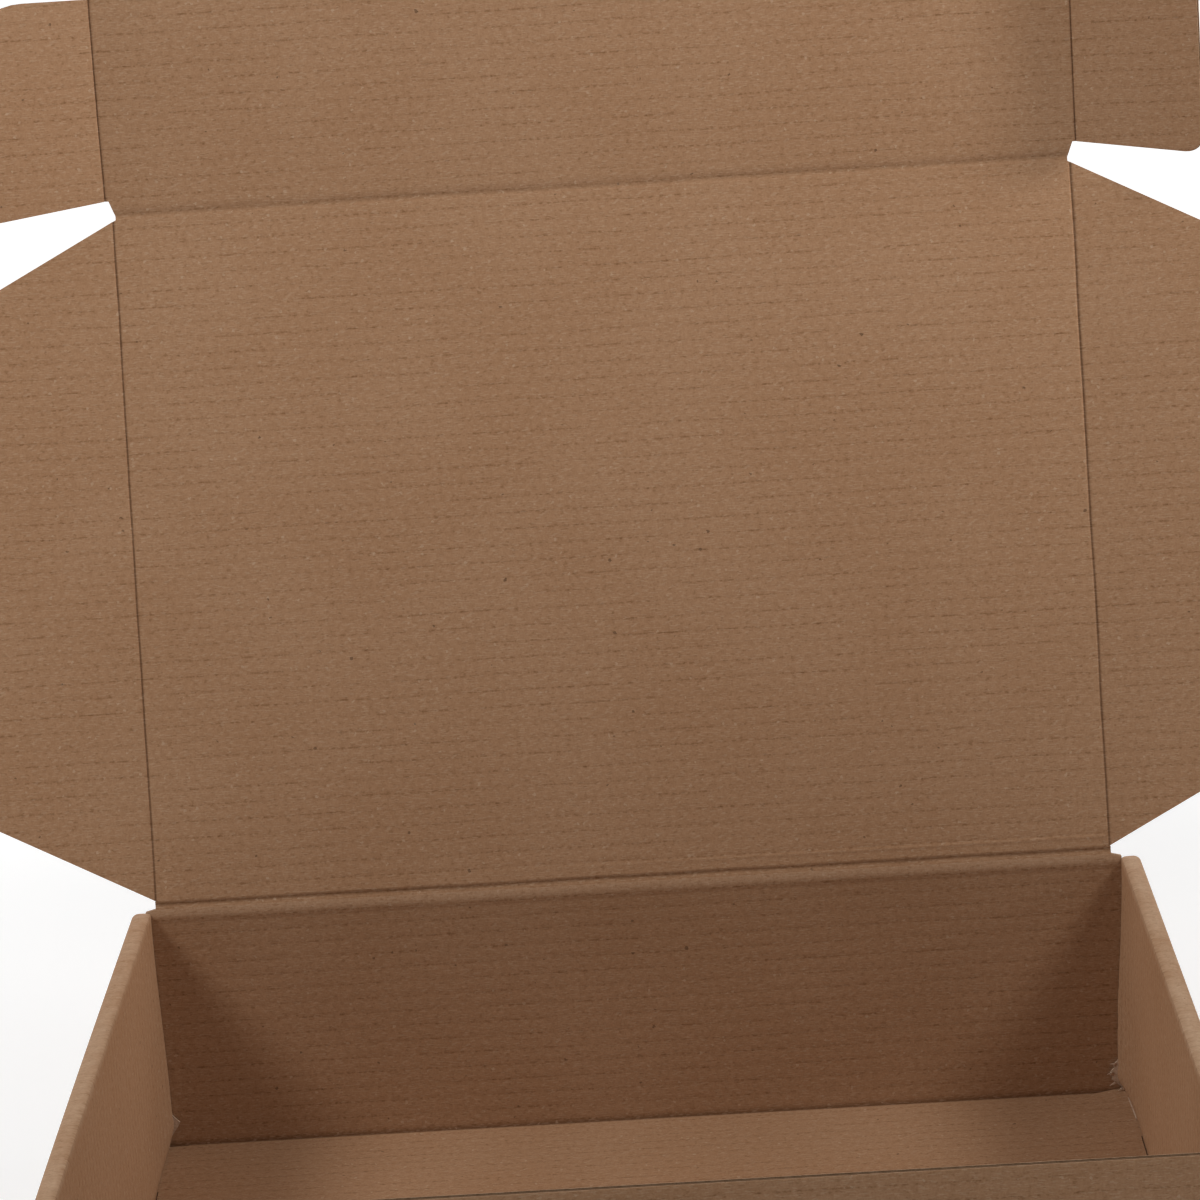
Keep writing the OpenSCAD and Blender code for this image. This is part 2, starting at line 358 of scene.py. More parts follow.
# %% Liner finish
LINER_WARM = (0.352, 0.194, 0.104, 1)
LINER_PALE = (0.366, 0.206, 0.113, 1)
# The paler colour of the rims, partly scuffed paper and partly painted light, and of the strip, painted
# light.
SCUFF_AND_LIGHT_PALE = (0.47, 0.315, 0.205, 1)
FIBRE = (0.52, 0.37, 0.25, 1)
# The colour of the painted shade in the creases.
CREASE_SHADE_COLOUR = (0.105, 0.047, 0.021, 1)
SPECK = (0.075, 0.036, 0.018, 1)
BROWNER = (1.0, 1.25, 1.55)
# The first share sets how strongly the painted crease shade is laid on.
CREASE_SHADE_SHARE, STRAND_SHARE, FLECK_SHARE, SPECK_SHARE = 0.5, 0.26, 0.4, 0.6
SMALL_CELLS, BROAD_CELLS = 420, 48
FLECK, DOT, SPOT = (0, 0.07, 0.24), (1, 0.0065, 0.22), (0, 0.10, 0.034)
RAGGED = 0.0016
GLOSS = 0.08
LINER_ROUGH, LINER_RELIEF = (0.74, 0.9), (0.35, 0.00012)


def paper_skin(tree, colour, rough, height, strength, depth):
    """Matt paper with a little relief."""
    relief = node(tree, "Bump", {"Height": height, "Strength": strength, "Distance": depth}).outputs[0]
    sockets = {"Base Color": colour, "Roughness": rough, "Specular IOR Level": GLOSS, "Normal": relief}
    node(tree, "OutputMaterial", {0: node(tree, "BsdfPrincipled", sockets).outputs[0]})


def liner_finish():
    """The liner's colour: clouds, paler scuffs and painted light, tone, painted crease shade, then marks."""
    made, tree = empty_finish("kraft_liner")
    where = node(tree, "UVMap", uv_map="sheet").outputs[0]
    clouds = grain(tree, where, CLOUD_GRAIN, 1.0)
    mottle = grain(tree, where, MOTTLE_GRAIN)
    fine = grain(tree, where, FINE_GRAIN, 2.0, (1, 0.85))
    shade = node(tree, "Attribute", attribute_name="shade").outputs["Fac"]
    # Plus amounts of the shade attribute are painted shade in the creases.
    painted_shade = calc(tree, "MAXIMUM", shade, 0.0)
    # Minus amounts paint the rims and the hinge strip paler: partly scuffs, partly painted light.
    scuff_and_light_mask = calc(tree, "MAXIMUM", calc(tree, "MULTIPLY", shade, -1.0), 0.0)
    colour = blend_colour(tree, fade(tree, clouds, 0.3, 0.7), LINER_WARM, LINER_PALE)
    colour = blend_colour(tree, scuff_and_light_mask, colour, SCUFF_AND_LIGHT_PALE)
    tone = liner_tone(tree, where, mottle, fine, scuff_and_light_mask)
    tint = node(tree, "CombineXYZ", {i: calc(tree, "POWER", tone, power) for i, power in enumerate(BROWNER)})
    colour = node(tree, "VectorMath", {0: colour, 1: tint.outputs[0]}, operation="MULTIPLY").outputs[0]
    wander = {i: calc(tree, "MULTIPLY", way, RAGGED) for i, way in enumerate((fine, mottle))}
    jitter = node(tree, "CombineXYZ", wander).outputs[0]
    small, broad = (speck_cells(tree, where, jitter, scale) for scale in (SMALL_CELLS, BROAD_CELLS))
    dark = calc(tree, "MAXIMUM", specks(tree, broad, *SPOT), specks(tree, small, *DOT))
    marks = ((painted_shade, CREASE_SHADE_SHARE, CREASE_SHADE_COLOUR), (pale_strands(tree, where), STRAND_SHARE, FIBRE),
             (specks(tree, small, *FLECK), FLECK_SHARE, FIBRE), (dark, SPECK_SHARE, SPECK))
    for mask, share, laid in marks:
        colour = blend_colour(tree, calc(tree, "MULTIPLY", mask, share), colour, laid)
    paper_skin(tree, colour, fade(tree, mottle, 0.2, 0.8, *LINER_ROUGH), mottle, *LINER_RELIEF)
    return made


LINER = liner_finish()
print("liner finish:", len(LINER.node_tree.nodes), "nodes")

# %% [markdown]
# ## Cut edges and flutes
# A knife leaves the paper's fibres standing, so a cut edge is paler and streaked. The wavy paper inside is
# a little darker than the liners and lies in its own shade, and torn paper is the palest. All three read
# the object's own coordinates.

# %% Edge and flute finishes
PAPER_RELIEF = (0.4, 0.0002)
FINER = 4.5


def paper_finish(name, dark, pale, scale, rough):
    """Bare paper: two tones mixed by a coarse and a fine grain, with a little relief."""
    made, tree = empty_finish(name)
    where = node(tree, "TexCoord").outputs["Object"]
    coarse = node(tree, "TexNoise", {"Vector": where, "Scale": scale, "Detail": 3.0}).outputs[0]
    fine = node(tree, "TexNoise", {"Vector": where, "Scale": scale * FINER, "Detail": 2.0}).outputs[0]
    mix = calc(tree, "ADD", calc(tree, "MULTIPLY", coarse, 0.6), calc(tree, "MULTIPLY", fine, 0.4))
    colour = blend_colour(tree, fade(tree, mix, 0.32, 0.68), dark, pale)
    paper_skin(tree, colour, rough, mix, *PAPER_RELIEF)
    return made


EDGE = paper_finish("cut_edge", (0.27, 0.16, 0.09, 1), (0.43, 0.28, 0.175, 1), 420, 0.9)
WAVY = paper_finish("flute_paper", (0.19, 0.11, 0.06, 1), (0.27, 0.16, 0.09, 1), 300, 0.9)
TORN = paper_finish("torn_fibre", (0.44, 0.30, 0.20, 1), (0.60, 0.45, 0.34, 1), 700, 0.95)
print("paper finishes:", EDGE.name, WAVY.name, TORN.name)

# %% [markdown]
# ## Cutting and scoring a blank
# A grid whose rows follow the flutes is a good blank, because the slight washboard of the board can then be
# real shape. Straight cuts with bisect_plane trim it to any outline: each cut only touches the faces it
# crosses, and what falls outside is waste.

# %% Blank and cuts
def blank(u, v, columns):
    """A flat grid over a piece of the sheet, with six rows to each flute."""
    first, last = floor(v[0] / ROW), ceil(v[1] / ROW)
    bm = bmesh.new()
    bmesh.ops.create_grid(bm, x_segments=columns, y_segments=last - first, size=0.5)
    bmesh.ops.scale(bm, vec=(u[1] - u[0], (last - first) * ROW, 1), verts=bm.verts)
    bmesh.ops.translate(bm, vec=((u[0] + u[1]) / 2, (first + last) * ROW / 2, 0), verts=bm.verts)
    return bm


def inside(point, outline):
    """Whether a point lies in an outline: it crosses the border an odd number of times to the right."""
    found = False
    for (ax, ay), (bx, by) in zip(outline, outline[1:] + outline[:1]):
        if (ay > point.y) != (by > point.y):
            if point.x < ax + (point.y - ay) / (by - ay) * (bx - ax):
                found = not found
    return found


def slice_at(bm, faces, at, across):
    """A straight cut through some faces, which stay joined."""
    geom = list(dict.fromkeys(e for f in faces for e in (*f.verts, *f.edges))) + faces
    bmesh.ops.bisect_plane(bm, geom=geom, dist=1e-4, plane_co=(*at, 0), plane_no=(*across, 0))


def cut_out(bm, outline, keep=True):
    """Cuts along an outline and drops the waste, which is the inside of the outline for a hole."""
    for (ax, ay), (bx, by) in zip(outline, outline[1:] + outline[:1]):
        low_x, high_x, low_y, high_y = min(ax, bx), max(ax, bx), min(ay, by), max(ay, by)
        near = [f for f in bm.faces
                if min(v.co.x for v in f.verts) <= high_x and max(v.co.x for v in f.verts) >= low_x
                and min(v.co.y for v in f.verts) <= high_y and max(v.co.y for v in f.verts) >= low_y]
        slice_at(bm, near, (ax, ay), (by - ay, ax - bx))
    waste = [f for f in bm.faces if inside(f.calc_center_median(), outline) != keep]
    bmesh.ops.delete(bm, geom=waste, context="FACES")


def score(bm, axis, places):
    """Lines right across the blank, where it will be folded or shaped."""
    for place in places:
        at, across = ((place, 0), (1, 0)) if axis == "u" else ((0, place), (0, 1))
        slice_at(bm, bm.faces[:], at, across)


def both_ends(points):
    """An outline's right half, from the bottom up, with its mirror image."""
    return points + [(-x, y) for x, y in reversed(points)]


def to_side(points, side):
    """An outline drawn for the right side, kept or turned over to the left."""
    return points if side > 0 else [(-x, y) for x, y in reversed(points)]


def corner(a, p, b, radius, steps=6):
    """Points round an outline's corner p, between its neighbours a and b."""
    a, p, b = Vector(a), Vector(p), Vector(b)
    u, v = (a - p).normalized(), (b - p).normalized()
    half = u.angle(v) / 2
    mid = p + (u + v).normalized() * radius / sin(half)
    start, end = p + u * radius / tan(half) - mid, p + v * radius / tan(half) - mid
    turn = start.angle_signed(end)
    return [tuple(mid + Matrix.Rotation(-turn * i / steps, 2) @ start) for i in range(steps + 1)]


print("a blank has", ceil(LID_D / ROW), "rows along the lid")

# %% [markdown]
# ## Thickness, washboard and cut edges
# Extruding the flat sheet gives it both liners and its cut edges. Each liner sinks by a few hundredths of a
# millimetre on its glue lines, which are half a flute apart on the two sides. At a free edge the side faces
# are inset, so that two liners stay standing with a hollow between them, and a wavy strip goes in the
# hollow.

# %% Thickness
WASHBOARD = 0.055
GLUE_LINE = 0.9
LIP = 0.32
HOLLOW = 2.6
PINCH = 0.955
HOLLOW_TAPER = 0.01
WAVE = HALF - LIP - 0.1
WAVE_STEP = 0.8
WAVE_IN = 0.3
FLUTE_PAPER = 0.2
FACE, CUT, FLUTES = 0, 1, 2


def bell(off, width):
    """1 on a line and less on both sides of it, by the distance off the line."""
    return exp(-(off / width) ** 2)


def thicken(bm):
    """From a flat sheet to a board, with its middle at height 0 and its inside face up."""
    bmesh.ops.translate(bm, vec=(0, 0, HALF), verts=bm.verts)
    made = bmesh.ops.extrude_face_region(bm, geom=bm.faces[:], use_keep_orig=True)
    lower = [g for g in made["geom"] if isinstance(g, bmesh.types.BMVert)]
    bmesh.ops.translate(bm, vec=(0, 0, -BOARD), verts=lower)
    bmesh.ops.recalc_face_normals(bm, faces=bm.faces)
    for f in bm.faces:
        f.material_index = FACE if abs(f.normal.z) > 0.5 else CUT
    for v in bm.verts:
        face = 1 if v.co.z > 0 else -1
        line = v.co.y / FLUTE + (0 if face > 0 else 0.5)
        v.co.z -= face * WASHBOARD * bell((line - round(line)) * FLUTE, GLUE_LINE)


def open_edges(bm, free):
    """Hollows the free cut edges between their liners. free tells by a place on the sheet."""
    cut = [f for f in bm.faces if f.material_index == CUT and free(f.calc_center_median())]
    for v in dict.fromkeys(v for f in cut for v in f.verts):
        v.co.z *= PINCH
    for thickness, depth in ((LIP, 0), (HOLLOW_TAPER, -HOLLOW)):
        bmesh.ops.inset_region(bm, faces=cut, thickness=thickness, depth=depth, use_boundary=True,
                               use_even_offset=True)
    for f in cut:
        f.material_index = FLUTES


def wavy_strip(bm, path):
    """The wavy paper in the hollow of an edge. The sheet lies on the left of the path."""
    runs = [(Vector(a), Vector(b)) for a, b in zip(path, path[1:])]
    total = sum((b - a).length for a, b in runs)
    made = bmesh.ops.create_grid(bm, x_segments=ceil(total / WAVE_STEP), y_segments=1, size=0.5)
    for v in made["verts"]:
        left, deep = (v.co.x + 0.5) * total, (v.co.y + 0.5) * (HOLLOW - WAVE_IN) + WAVE_IN
        for a, b in runs:
            if left <= (b - a).length or (a, b) == runs[-1]:
                break
            left -= (b - a).length
        way = (b - a).normalized()
        spot = a + way * left + Vector((-way.y, way.x)) * deep
        v.co = (*spot, WAVE * cos(2 * pi * spot.y / FLUTE))
    strip = list(dict.fromkeys(f for v in made["verts"] for f in v.link_faces))
    for f in strip:
        f.material_index = FLUTES
    bmesh.ops.solidify(bm, geom=strip, thickness=FLUTE_PAPER)


print(f"edge hollow {HOLLOW} mm deep between liners {LIP} mm thick")

# %% [markdown]
# ## Folding
# A fold turns what lies beyond a scored line, in small turns over the length of sheet that the bend takes
# up. The fold that is furthest out is made first, while its line still lies flat. Each point keeps its
# place on the flat sheet in two layers, so a fold always knows what lies beyond it.

# %% Fold
FOLD_STEPS = 6
UNDER_SHIFT = 1000
PAST_SHEET = U_END + FLUTE


def mark(bm):
    """Keeps each point's place on the sheet, and gives every face its map for the finish."""
    u, v = bm.verts.layers.float.new("sheet_u"), bm.verts.layers.float.new("sheet_v")
    bm.verts.layers.float.new("shade")
    for vert in bm.verts:
        vert[u], vert[v] = vert.co.x, vert.co.y
    sheet = bm.loops.layers.uv.new("sheet")
    for f in bm.faces:
        under = f.normal.z < -0.5
        for loop in f.loops:
            x, y, _ = loop.vert.co
            loop[sheet].uv = ((x + UNDER_SHIFT * under) * MM, (y + FLUTE / 2 * under) * MM)
    return u, v


def fold_lines(at, length=QUARTER, steps=FOLD_STEPS):
    """The scored lines of a fold, which make room for its small turns."""
    return [at + length * i / steps for i in range(steps + 1)]


def fold(bm, axis, at, side, angle, length=QUARTER, steps=FOLD_STEPS, reach=PAST_SHEET):
    """Turns what lies beyond a line towards the inside face, or away from it for a minus angle."""
    layer, width = (bm.verts.layers.float["sheet_" + a] for a in (axis, "u"))
    for step in reversed(range(steps)):
        middle = at + length * (step + 0.5) / steps
        beyond = [v for v in bm.verts if side * v[layer] > middle and abs(v[width]) < reach]
        if axis == "u":
            cent, turn = (side * middle, 0, 0), Matrix.Rotation(-side * radians(angle) / steps, 3, "Y")
        else:
            cent, turn = (0, side * middle, 0), Matrix.Rotation(side * radians(angle) / steps, 3, "X")
        bmesh.ops.rotate(bm, cent=cent, matrix=turn, verts=beyond)


def shade(bm, strength):
    """Painted shade, or for minus amounts paper painted paler, partly scuffs and partly painted light.
    strength tells how much by place and side of the board.
    """
    u, v, s = (bm.verts.layers.float[n] for n in ("sheet_u", "sheet_v", "shade"))
    for vert in bm.verts:
        vert[s] = strength(vert[u], vert[v], vert.co.z)


print("a quarter fold is made of", FOLD_STEPS, "small turns")

# %% [markdown]
# ## Standing a piece in its place
# A panel is moved into the box by one matrix once it is shaped, so its object stays at the origin. The
# board bends softly, but its cut edges are sharp, so edges over an angle are marked as sharp and the rest
# is smooth.

# %% Finish
SHARP_DEGREES = 38
made_pieces = []


def finish(name, bm, place):
    """Stands a piece in its place, in metres, and makes it an object with the board's finishes."""
    bmesh.ops.transform(bm, matrix=place, verts=bm.verts)
    bmesh.ops.scale(bm, vec=(MM, MM, MM), verts=bm.verts)
    bmesh.ops.recalc_face_normals(bm, faces=bm.faces)
    for f in bm.faces:
        f.smooth = True
    for e in bm.edges:
        e.smooth = e.is_manifold and e.calc_face_angle(0) < radians(SHARP_DEGREES)
    for layer in ("sheet_u", "sheet_v"):
        bm.verts.layers.float.remove(bm.verts.layers.float[layer])
    mesh = bpy.data.meshes.new(name)
    bm.to_mesh(mesh)
    bm.free()
    for finish_of in (LINER, EDGE, WAVY):
        mesh.materials.append(finish_of)
    made = bpy.data.objects.new(name, mesh)
    bpy.context.scene.collection.objects.link(made)
    made_pieces.append(made)
    print(name, len(mesh.polygons), "faces")
    return made


def stand(body, replaced, made):
    """Lets a piece move with a body, in place of a solid."""
    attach(made, body)
    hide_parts(replaced)


def lift(bm, amount):
    """Moves both liners together: amount tells the height by the place on the sheet."""
    for v in bm.verts:
        v.co.z += amount(v.co.x, v.co.y)


def ripple(x, y, size, seed):
    """Soft waves about as long as a size, from -1 to 1."""
    return noise.noise(Vector((x / size, y / size, seed)))


def hump(share):
    """1 in the middle of a panel and 0 at both ends, for a share from -1 to 1."""
    return max(0, 1 - share ** 2)


print("sharp edges from", SHARP_DEGREES, "degrees")

# %% [markdown]
# ## The floor
# The floor is the middle of the sheet. Its front and back ends carry the folds into the walls, and the
# folds stop short of the corners, where the board is cut through so that the corner can turn. The back
# corner on the right stands up a little.

# %% Floor
FLOOR_X = PANEL_X - PLAY
FLOOR_Y = TURN_Y + 0.2
FLOOR_WAVE = 0.25
FLOOR_CREASE_SHADE = 1.5
CORNER_UP, CORNER_WIDE, CORNER_LONG = 2.6, FLOOR_X - CREASE_X + 3, 16.0
floor_right = [(CREASE_X, -V_WALL), (CREASE_X, -FLOOR_Y), (FLOOR_X, -FLOOR_Y),
               (FLOOR_X, FLOOR_Y), (CREASE_X, FLOOR_Y), (CREASE_X, V_WALL)]
bm = blank((-FLOOR_X, FLOOR_X), (-V_WALL, V_WALL), 26)
score(bm, "v", [side * line for side in (-1, 1) for line in fold_lines(TURN_Y)])
cut_out(bm, both_ends(floor_right))
thicken(bm)
mark(bm)
# Painted shade in the inner corner, where the floor turns up into the walls.
shade(bm, lambda u, v, z: FLOOR_CREASE_SHADE * bell(V_WALL - 0.4 - abs(v), 1.2) if z > 0 else 0)
lift(bm, lambda u, v: FLOOR_WAVE * ripple(u, v, 90, 3) * hump(v / TURN_Y) * hump(u / FLOOR_X))
for v in bm.verts:
    if v.co.z > 0 and v.co.y < FLOOR_Y + 0.1:
        across = 1 - (FLOOR_X - v.co.x) / CORNER_WIDE
        along = 1 - (FLOOR_Y - v.co.y) / CORNER_LONG
        v.co.z += CORNER_UP * max(0, across) * max(0, along) ** 2
for side in (-1, 1):
    fold(bm, "v", TURN_Y, side, 90)
stand("tray", "tray", finish("floor", bm, Matrix.Translation((0, 0, HALF))))

# %% [markdown]
# ## Front and back walls
# A wall turns at both ends into a corner flap, which is held inside the side wall. The back wall runs on
# upwards into the strip that carries the lid: its lower crease is soft, and the strip bulges a little.

# %% Walls
LEAN = {-1: 2.3, 1: 0.5}
FLAP_END = TURN_X + QUARTER + 84.0
FLAP_TAPER = 6.0
STRIP_END = V_LID - HINGE_CUT
STRIP_X = PANEL_X - 0.2
STRIP_FOOT, STRIP_HEAD = V_STRIP - 0.6, V_STRIP + 2.4
STRIP_PAINTED_HIGHLIGHT = 0.25
STRIP_BULGE = 0.45
SOFT_CREASE = 2.4
SOFT_AT = V_STRIP - 2.2
WALL_CREASE_SHADE = 1.3


def lean_in(side, y, z):
    """How far a side wall leans inwards: most at the top of its back end."""
    return LEAN[side] * max(0, z / RIM_Z) ** 1.2 * max(0, (y + SIDE_Y) / (2 * SIDE_Y)) ** 1.5


def wall_edge(back):
    """The right half of a wall's outline, round its corner flap and up to its top."""
    rise = lambda z: V_WALL + z - FOLD_OUT
    turn = TURN_X - 0.4
    edge = [(CREASE_X, rise(FOLD_OUT)), (CREASE_X, rise(1)), (turn, rise(1)), (turn, rise(CORNER_LOW)),
            (FLAP_END - FLAP_TAPER, rise(CORNER_LOW)), (FLAP_END, rise(CORNER_LOW + FLAP_TAPER)),
            (FLAP_END, rise(CORNER_HIGH - FLAP_TAPER)), (FLAP_END - FLAP_TAPER, rise(CORNER_HIGH)),
            (TURN_X, rise(CORNER_HIGH))]
    strip = [(STRIP_X, STRIP_FOOT), (STRIP_X, STRIP_HEAD), (HINGE_END, STRIP_END)]
    return edge + (strip if back else [(PANEL_X - BOARD, rise(FRONT_TOP))])


def wall(name, back):
    """The back wall with its hinge strip, or the front wall with a plain top edge."""
    edge = wall_edge(back)
    top = edge[-1][1]
    way = 1 if back else -1
    bm = blank((-FLAP_END, FLAP_END), sorted((way * V_WALL, way * top)), 46)
    score(bm, "u", [side * line for side in (-1, 1) for line in fold_lines(TURN_X)])
    if back:
        score(bm, "v", fold_lines(SOFT_AT, SOFT_CREASE, 4))
    outline = both_ends(edge)
    cut_out(bm, outline if back else [(x, -y) for x, y in reversed(outline)])
    thicken(bm)
    if not back:
        open_edges(bm, lambda c: -c.y > top - 3 and abs(c.x) < PANEL_X)
        wavy_strip(bm, [(-PANEL_X + 4, -top), (PANEL_X - 4, -top)])
    mark(bm)
    for v in bm.verts:
        if back and v.co.z > 0 and v.co.y > SOFT_AT:
            v.co.z += STRIP_BULGE * sin(pi * (v.co.y - SOFT_AT) / (V_LID - SOFT_AT))
    # A painted highlight makes the hinge strip paler than the wall below it.
    pale = lambda v: STRIP_PAINTED_HIGHLIGHT * min(1, max(0, v - SOFT_AT - 1) / 2)
    # Painted shade along the crease at the wall's foot, less the hinge strip's painted highlight.
    shade(bm, lambda u, v, z: WALL_CREASE_SHADE * bell(abs(v) - V_WALL, 1.3) - pale(v) if z > 0 else 0)
    wave, bow = (0.5, 0) if back else (0.25, -0.3)
    height = lambda v: min(1, max(0, (abs(v) - V_WALL) / (V_STRIP - V_WALL)))
    lift(bm, lambda u, v: (wave * ripple(u, v, 70, 5) + bow) * hump(u / TURN_X) * sin(pi * height(v)))
    for side in (-1, 1):
        fold(bm, "u", TURN_X, side, 90)
    if back:
        fold(bm, "v", SOFT_AT, 1, -STRIP_LEAN, SOFT_CREASE, 4, TURN_X)
    upright = Matrix.Translation((0, way * STRIP_Y, 0)) @ Matrix.Rotation(way * pi / 2, 4, "X")
    place = upright @ Matrix.Translation((0, way * (FOLD_OUT - V_WALL), 0))
    bmesh.ops.transform(bm, matrix=place, verts=bm.verts)
    for v in bm.verts:
        side = 1 if v.co.x > 0 else -1
        if side * v.co.x > PANEL_X + 1:
            v.co.x -= side * lean_in(side, v.co.y, v.co.z) * min(1, max(0, WALL_Y - abs(v.co.y)) / 3)
    return finish(name, bm, Matrix.Identity(4))


stand("tray", "tray", wall("back_wall", True))
stand("tray", "tray", wall("front_wall", False))

# %% [markdown]
# ## Rolled side walls
# This is the feature that takes the most skill. The outer panel rises from the floor, rolls over at the rim
# in two quarter folds and hangs down inside, with lock tabs in slots in the floor. At the back, the inner
# panels bulge inwards over the floor, and a nib of board stands out where they were pushed past the corner.

# %% Side walls
TAB_Y, TAB_LEN = 70.0, 46.0
BEND_Y = SIDE_Y - 1.5
BULGE = {-1: (2.4, 0.9), 1: (4.1, 1.0)}
BULGE_LONG = 42.0
NIB_Z = {-1: 13.0, 1: 10.6}
NIB_HIGH, NIB_LONG = 5.5, 7.0
FRAY, FRAY_LONG = 0.35, 3.0
PRESSED = 0.7
CROWN = 0.3
SQUARE = 5
# How pale the rim is painted, partly scuffs and partly painted light, and the painted shade at the panel's
# foot:
RIM_SCUFF_AND_LIGHT = 0.7
FOOT_PAINTED_SHADE = 0.7
OUTER_WAVE, OUTER_WIDE = 0.45, 95.0


def side_edge():
    """The outline of the right side wall, from the floor's edge over the rim to the lock tabs."""
    root = OUT_X - FOLD_OUT
    far = [(U_OUTER, SIDE_Y), (U_END - 4, SIDE_Y), (U_END, SIDE_Y - 3)]
    for end in (TAB_Y + TAB_LEN / 2, TAB_Y - TAB_LEN / 2):
        step = [(U_END, end), (U_END + BOARD, end)]
        far += step if end > TAB_Y else reversed(step)
    back = [(FLOOR_X, TURN_Y), (root, TURN_Y), (root, BEND_Y), (U_OUTER, BEND_Y)] + far
    front = [(x, -y) for x, y in reversed(back)]
    return (back + front)[::-1]


def push_in(side, v, z):
    """How far the inner panel stands inwards near the back wall, at a height above the ground."""
    broad, nib = BULGE[side]
    near = max(0, 1 - (SIDE_Y - v) / BULGE_LONG) ** 2
    peak = NIB_Z[side]
    if z < peak + 1:
        low = sin(pi / 2 * max(0, z - 1) / peak)
    else:
        low = cos(pi / 2 * (z - peak - 1) / (RIM_Z - peak)) ** 2
    tip = max(0, 1 - abs(z - peak + 0.5) / NIB_HIGH) * max(0, 1 - (SIDE_Y - v) / NIB_LONG)
    frayed = FRAY * ripple(z, 0, 5, 31) * max(0, 1 - (SIDE_Y - v) / FRAY_LONG) if side > 0 else 0
    return broad * near * low + nib * tip + frayed


def painted_light_and_rim_scuff(u, v, z):
    """Painted shade at the inner panel's foot; the rim painted paler, partly scuffs, partly painted light.
    """
    along = (abs(u) - U_RIM) / (U_PANEL - U_RIM)
    if z > 0 or along < 0:
        return 0
    scuff_and_light_amount = sin(pi * min(1, along)) * (RIM_SCUFF_AND_LIGHT + 0.5 * ripple(u, v, 22, 13) + 0.3 * ripple(u, v, 6, 14))
    return FOOT_PAINTED_SHADE * bell(abs(u) - U_END, 2.2) - max(0, scuff_and_light_amount)


def shape_rim(vert):
    """The roll is pressed smooth, a little crowned, and bent more sharply on its inner side."""
    far, along = abs(vert.co.x), (abs(vert.co.x) - U_RIM) / (U_PANEL - U_RIM)
    bend = pi / 2 * min(1, max(0, (far - U_INNER) / QUARTER))
    if vert.co.z < 0 and 0 < along < 1:
        tight = FOLD_OUT * ((cos(bend) ** SQUARE + sin(bend) ** SQUARE) ** (-1 / SQUARE) - 1)
        pressed = (1 - PRESSED) * vert.co.z - PRESSED * HALF
        vert.co.z = pressed - CROWN * sin(pi * along) ** 2 - tight


def side_wall(side):
    """A side wall in one piece, from the floor's edge over the rim to the lock tabs."""
    bm = blank(sorted((side * FLOOR_X, side * (U_END + BOARD))), (-SIDE_Y, SIDE_Y), 30)
    starts = (OUT_X - FOLD_OUT, U_RIM, U_INNER)
    lines = [line for at in starts for line in fold_lines(at)] + [U_END - 2.2 * i for i in range(14)]
    score(bm, "u", [side * line for line in lines])
    cut_out(bm, to_side(side_edge(), side))
    for y in (-TAB_Y, TAB_Y):
        low, high = y - TAB_LEN / 2 - PLAY, y + TAB_LEN / 2 + PLAY
        slot_to = PANEL_X + BOARD + PLAY
        hole = [(FLOOR_X - 1, low), (slot_to, low), (slot_to, high), (FLOOR_X - 1, high)]
        cut_out(bm, to_side(hole, side), keep=False)
    thicken(bm)
    open_edges(bm, lambda c: abs(c.y) > SIDE_Y - 0.1 and U_OUTER + 1 < abs(c.x) < U_END - 4)
    for end in (-1, 1):
        run = [(U_END - 5, end * SIDE_Y), (U_OUTER + 2, end * SIDE_Y)]
        wavy_strip(bm, [(side * x, y) for x, y in (run if side * end > 0 else run[::-1])])
    u, v = mark(bm)
    shade(bm, painted_light_and_rim_scuff)
    across = lambda x: 2 * (abs(x) - U_OUTER) / OUTER_WIDE - 1
    lift(bm, lambda x, y: OUTER_WAVE * ripple(x, y, 80, 7 + side) * hump(across(x)))
    for vert in bm.verts:
        shape_rim(vert)
    for at in reversed(starts):
        fold(bm, "u", at, side, 90)
    for vert in bm.verts:
        if side * vert[u] > U_PANEL:
            vert.co.x -= side * push_in(side, vert[v], vert.co.z + HALF)
        vert.co.x -= side * lean_in(side, vert.co.y, vert.co.z + HALF)
    return finish(SIDE_NAME[side] + "_side_wall", bm, Matrix.Translation((0, 0, HALF)))


for side in (-1, 1):
    stand("tray", "tray", side_wall(side))

# %% [markdown]
# ## Torn board at the back corners
# Where the inner panels were pushed past the back corners, the liner tore. A clean nib stands out on the
# left, and on the right a ragged one with a few fibres and a fuzzy foot. Each scrap is one outline pushed
# out to a little thickness, rooted in the panel, because a torn edge has no pattern that a grid could
# follow.

# %% Torn scraps
SCRAP, FIBRE_THICK, FUZZ = 0.6, 0.35, 0.45
NIB_Y = SIDE_Y - 0.5
LEFT_NIB = [(192.4, 18.6), (190.6, 17.2), (189.1, 15.3), (187.3, 13.5),
            (188.5, 11.4), (190.2, 9.1), (191.6, 7.0), (192.8, 6.4)]
RIGHT_NIB = [(192.0, 19.0), (189.3, 17.5), (188.2, 16.5), (186.9, 15.1), (187.2, 13.8), (185.8, 12.3),
             (185.5, 10.7), (186.5, 10.0), (186.3, 8.8), (187.9, 7.7), (189.1, 6.3), (190.5, 5.2),
             (192.4, 4.4), (193.2, 10.0)]
FIBRES = [[(188.0, 16.2), (185.6, 15.7), (187.4, 15.0)], [(186.6, 12.5), (184.3, 11.5), (186.2, 11.4)],
          [(187.2, 8.2), (185.2, 6.6), (188.0, 7.5)], [(190.0, 5.9), (188.6, 4.4), (191.0, 5.3)]]


